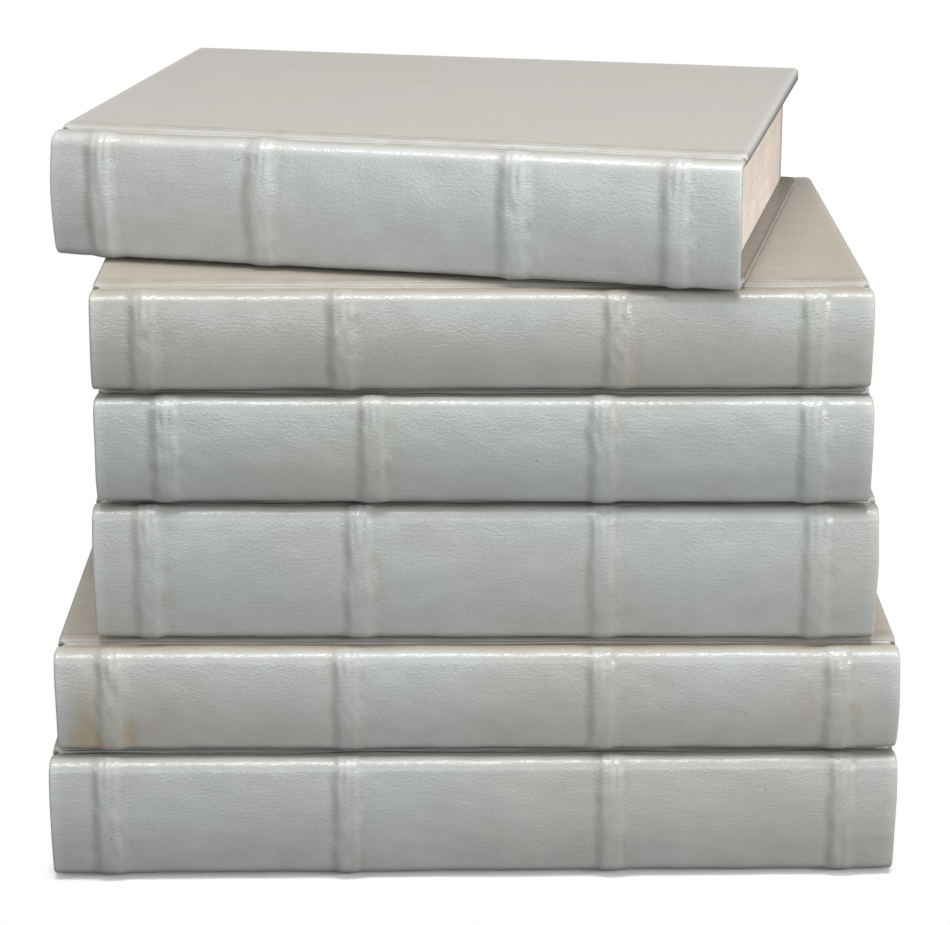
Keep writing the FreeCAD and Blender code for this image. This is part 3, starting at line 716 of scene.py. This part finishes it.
# %% Paper, boards and thread
def paper(name, tone, deep, vector_scale, roughness=0.85):
    """Fibrous sheet or its cut edge: two near tones mixed by noise stretched along the leaves."""
    material, tree, shader = new_material(name)
    place = add_node(tree, "ShaderNodeTexCoord").outputs["Object"]
    drawn = add_node(tree, "ShaderNodeMapping", {"Vector": place, "Scale": vector_scale})
    leaf = add_node(tree, "ShaderNodeTexNoise", {"Vector": drawn, "Scale": 100.0, "Detail": 3.0,
                                                 "Roughness": 0.7})
    cloud = add_node(tree, "ShaderNodeTexNoise", {"Vector": place, "Scale": 45.0, "Detail": 3.0})
    both = add_node(tree, "ShaderNodeMath", {0: leaf, 1: cloud}, operation="MULTIPLY")
    share = add_node(tree, "ShaderNodeMapRange", {"Value": both, "From Min": 0.14, "From Max": 0.38})
    mixed = add_node(tree, "ShaderNodeMix", {"Factor": share, "A": linear(deep), "B": linear(tone)},
                     data_type="RGBA")
    relief = add_node(tree, "ShaderNodeBump", {"Height": leaf, "Strength": 0.6, "Distance": 0.00008})
    tree.links.new(next(s for s in mixed.outputs if s.enabled), shader.inputs["Base Color"])
    tree.links.new(relief.outputs["Normal"], shader.inputs["Normal"])
    shader.inputs["Roughness"].default_value = roughness
    return material


# Cut edges of the leaves: cream with a little pink, in hair-thin lines a few leaves apart.
page_edges = paper("cut leaf edges", "#efe4dd", "#d6c8be", (0.25, 0.25, 26.0))
# Endpaper: a yellower sheet laid flat, with faint clouds.
endpaper = paper("endpaper", "#e6dccc", "#d8ccb8", (3.0, 3.0, 3.0))
# Millboard and card are grey-brown pressed fibre; only an open cover would show them.
millboard = paper("millboard", "#a0927d", "#85775f", (4.0, 4.0, 8.0), 0.9)
spine_card = paper("card", "#b3a48d", "#998a72", (4.0, 4.0, 8.0), 0.9)
# Endbands: silk wound over a core, ribbed across.
silk = paper("wound silk thread", "#d8cdb8", "#a78f6e", (12.0, 2.0, 2.0), 0.6)
print("papers:", page_edges.name, endpaper.name, millboard.name, spine_card.name, silk.name)

# %% [markdown]
# The model's boards, card, endbands and pastedowns have the right shapes already, so they
# keep their meshes and only get their materials. The strips of the bands are card as well,
# but the leather of the spine stands for them, so they aren't seen.

# %% Dress the pieces that stay
for node_name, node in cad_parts.items():
    for ending, material in (("_board", millboard), ("_spine_inlay", spine_card),
                             ("_raised_bands", spine_card), ("_endbands", silk),
                             ("_pastedown", endpaper)):
        if node_name.endswith(ending):
            for slot in node.material_slots:
                slot.material = material
print("slots of a board:", len(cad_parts["book1_upper_board"].material_slots))

# %% [markdown]
# Now each book is put together. Its spine, its two covers and its pages are pieces of their
# own. The lower five ride with the stack. The top cover turns, so on that book the spine
# with its upper joint is a piece of its own, and the lower joint is a piece with the lower cover.

# %% Build the books
PARTING = 9.3


def stand_for(piece, body, slot, *nodes):
    """The piece replaces the nodes and rides with the body, if it has one."""
    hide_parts(*nodes)
    if body:
        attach(piece, body)


for book, leather in zip(BOOKS, leathers):
    name, number = book["name"], book["number"]
    pages = make_piece(f"{name}_leaves", page_shell(book), book, page_edges)
    stand_for(pages, STACK, "pages", f"{name}_text_block")
    slot = f"leather_{name}"
    upper = cover_shell(book, "upper", SHARP_STEP if number == 6 else PLAIN_STEP)
    lower = cover_shell(book, "lower", PLAIN_STEP)
    if number < 6:
        spine = make_piece(f"{name}_spine_leather", spine_shell(book), book, leather)
        stand_for(spine, STACK, slot, f"{name}_leather_cover", f"{name}_raised_bands")
        for side, shell in (("upper", upper), ("lower", lower)):
            cover = make_piece(f"{name}_{side}_cover_leather", shell, book, leather)
            stand_for(cover, STACK, slot, f"{name}_leather_cover")
        continue
    across = spine_line(book)[0]
    parting = len(across) - int((across[::-1] < PARTING).argmax())
    spine = make_piece(f"{name}_spine_leather", spine_shell(book, 0, parting + 1), book, leather)
    stand_for(spine, None, slot, f"{name}_leather_cover", f"{name}_raised_bands")
    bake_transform(spine)
    joined = join_shells([spine_shell(book, parting), lower])
    cover = make_piece(f"{name}_lower_cover_leather", joined, book, leather)
    stand_for(cover, STACK, slot, f"{name}_leather_cover")
    cover = make_piece(f"{name}_upper_cover_leather", upper, book, leather)
    stand_for(cover, TOP_COVER, slot, f"{name}_top_cover_leather")

# %% [markdown]
# The books stand on white paper that runs into a white background. The paper keeps the
# soft shadow under the lowest book and fades out within three centimetres, sooner at the
# ends. A lamp straight overhead lights the covers, while each book shades the joint below
# it. A low, wide lamp in front brightens the upper half of every spine and draws a line of
# light along each shoulder. One at the right leaves the left flanks of the bands darker.

# %% Floor, room and lamps
REACH = 3.0
COVERED_HALF = (0.139, 0.095, 1.0)
FADE_WEIGHTS = (4.0, 1.0, 0.0)
FADE_START, FADE_END = 0.004, 0.028
corners = [(-REACH, -REACH, 0), (REACH, -REACH, 0), (REACH, REACH, 0), (-REACH, REACH, 0)]
floor_mesh = bpy.data.meshes.new("floor")
floor_mesh.from_pydata(corners, [], [(0, 1, 2, 3)])
floor = bpy.data.objects.new("floor", floor_mesh)
bpy.context.scene.collection.objects.link(floor)
white_paper, tree, shader = new_material("white paper")
seen = add_node(tree, "ShaderNodeLightPath").outputs["Is Camera Ray"]
bounce = add_node(tree, "ShaderNodeMix", {"Factor": seen, "A": linear("#7a7772"), "B": linear("#f6f6f6")},
                  data_type="RGBA")
tree.links.new(next(s for s in bounce.outputs if s.enabled), shader.inputs["Base Color"])
shader.inputs["Roughness"].default_value = 0.9
shader.inputs["Specular IOR Level"].default_value = 0.1
place = add_node(tree, "ShaderNodeTexCoord").outputs["Object"]
# The lowest book covers a rectangle: the paper fades with the distance from it, sooner at its ends.
from_axes = add_node(tree, "ShaderNodeVectorMath", {0: place}, operation="ABSOLUTE")
beyond = add_node(tree, "ShaderNodeVectorMath", {0: from_axes, 1: COVERED_HALF}, operation="SUBTRACT")
beyond = add_node(tree, "ShaderNodeVectorMath", {0: beyond, 1: (0.0, 0.0, 0.0)}, operation="MAXIMUM")
beyond = add_node(tree, "ShaderNodeVectorMath", {0: beyond, 1: FADE_WEIGHTS}, operation="MULTIPLY")
away = add_node(tree, "ShaderNodeVectorMath", {0: beyond}, operation="LENGTH").outputs["Value"]
fade = add_node(tree, "ShaderNodeMapRange", {"Value": away, "From Min": FADE_START,
                                             "From Max": FADE_END}, interpolation_type="SMOOTHSTEP")
clear = add_node(tree, "ShaderNodeMath", {0: fade, 1: seen}, operation="MULTIPLY")
see_through = add_node(tree, "ShaderNodeBsdfTransparent")
mixed = add_node(tree, "ShaderNodeMixShader", {0: clear, 1: shader, 2: see_through})
output = next(node for node in tree.nodes if node.bl_idname == "ShaderNodeOutputMaterial")
tree.links.new(mixed.outputs["Shader"], output.inputs["Surface"])
floor_mesh.materials.append(white_paper)

world = bpy.data.worlds.new("white room")
bpy.context.scene.world = world
world.use_nodes = True
tree = world.node_tree
tree.nodes.clear()
seen = add_node(tree, "ShaderNodeLightPath").outputs["Is Camera Ray"]
direction = add_node(tree, "ShaderNodeTexCoord").outputs["Generated"]
height = add_node(tree, "ShaderNodeSeparateXYZ", {"Vector": direction}).outputs["Z"]
glow = add_node(tree, "ShaderNodeMapRange", {"Value": height, "From Min": 0.0, "From Max": 0.8,
                                             "To Min": 0.16, "To Max": 0.36})
strength = add_node(tree, "ShaderNodeMix", {"Factor": seen, "A": glow, "B": 1.0})
room = add_node(tree, "ShaderNodeBackground", {"Color": linear("#ffffff"), "Strength": strength})
add_node(tree, "ShaderNodeOutputWorld", {"Surface": room})


def add_lamp(name, place, target, size, power, tone):
    """An area lamp, size wide and high, at a place and turned to a target."""
    data = bpy.data.lights.new(name, "AREA")
    data.shape = "RECTANGLE"
    data.size, data.size_y = size
    data.energy = power
    data.color = linear(tone)[:3]
    lamp = bpy.data.objects.new(name, data)
    bpy.context.scene.collection.objects.link(lamp)
    lamp.location = place
    direction = np.array(target) - np.array(place)
    flat = math.hypot(direction[0], direction[1])
    lamp.rotation_euler = (math.atan2(flat, -direction[2]), 0, math.atan2(-direction[0], direction[1]))


add_lamp("overhead", (0.05, -0.20, 1.40), (0.0, -0.04, 0.2), (1.0, 0.25), 17.5, "#ffffff")
add_lamp("front", (0.15, -1.30, 0.42), (0.0, -0.05, 0.15), (1.7, 0.4), 9.6, "#e9f4ff")
add_lamp("right", (1.1, -0.75, 0.45), (0.0, -0.05, 0.12), (0.4, 0.4), 10.0, "#fffaf4")
add_lamp("left", (-1.2, -0.5, 0.8), (0.0, -0.05, 0.12), (0.5, 0.5), 3.5, "#fffaf4")
bpy.context.scene.view_settings.view_transform = "Standard"
print("stage set")
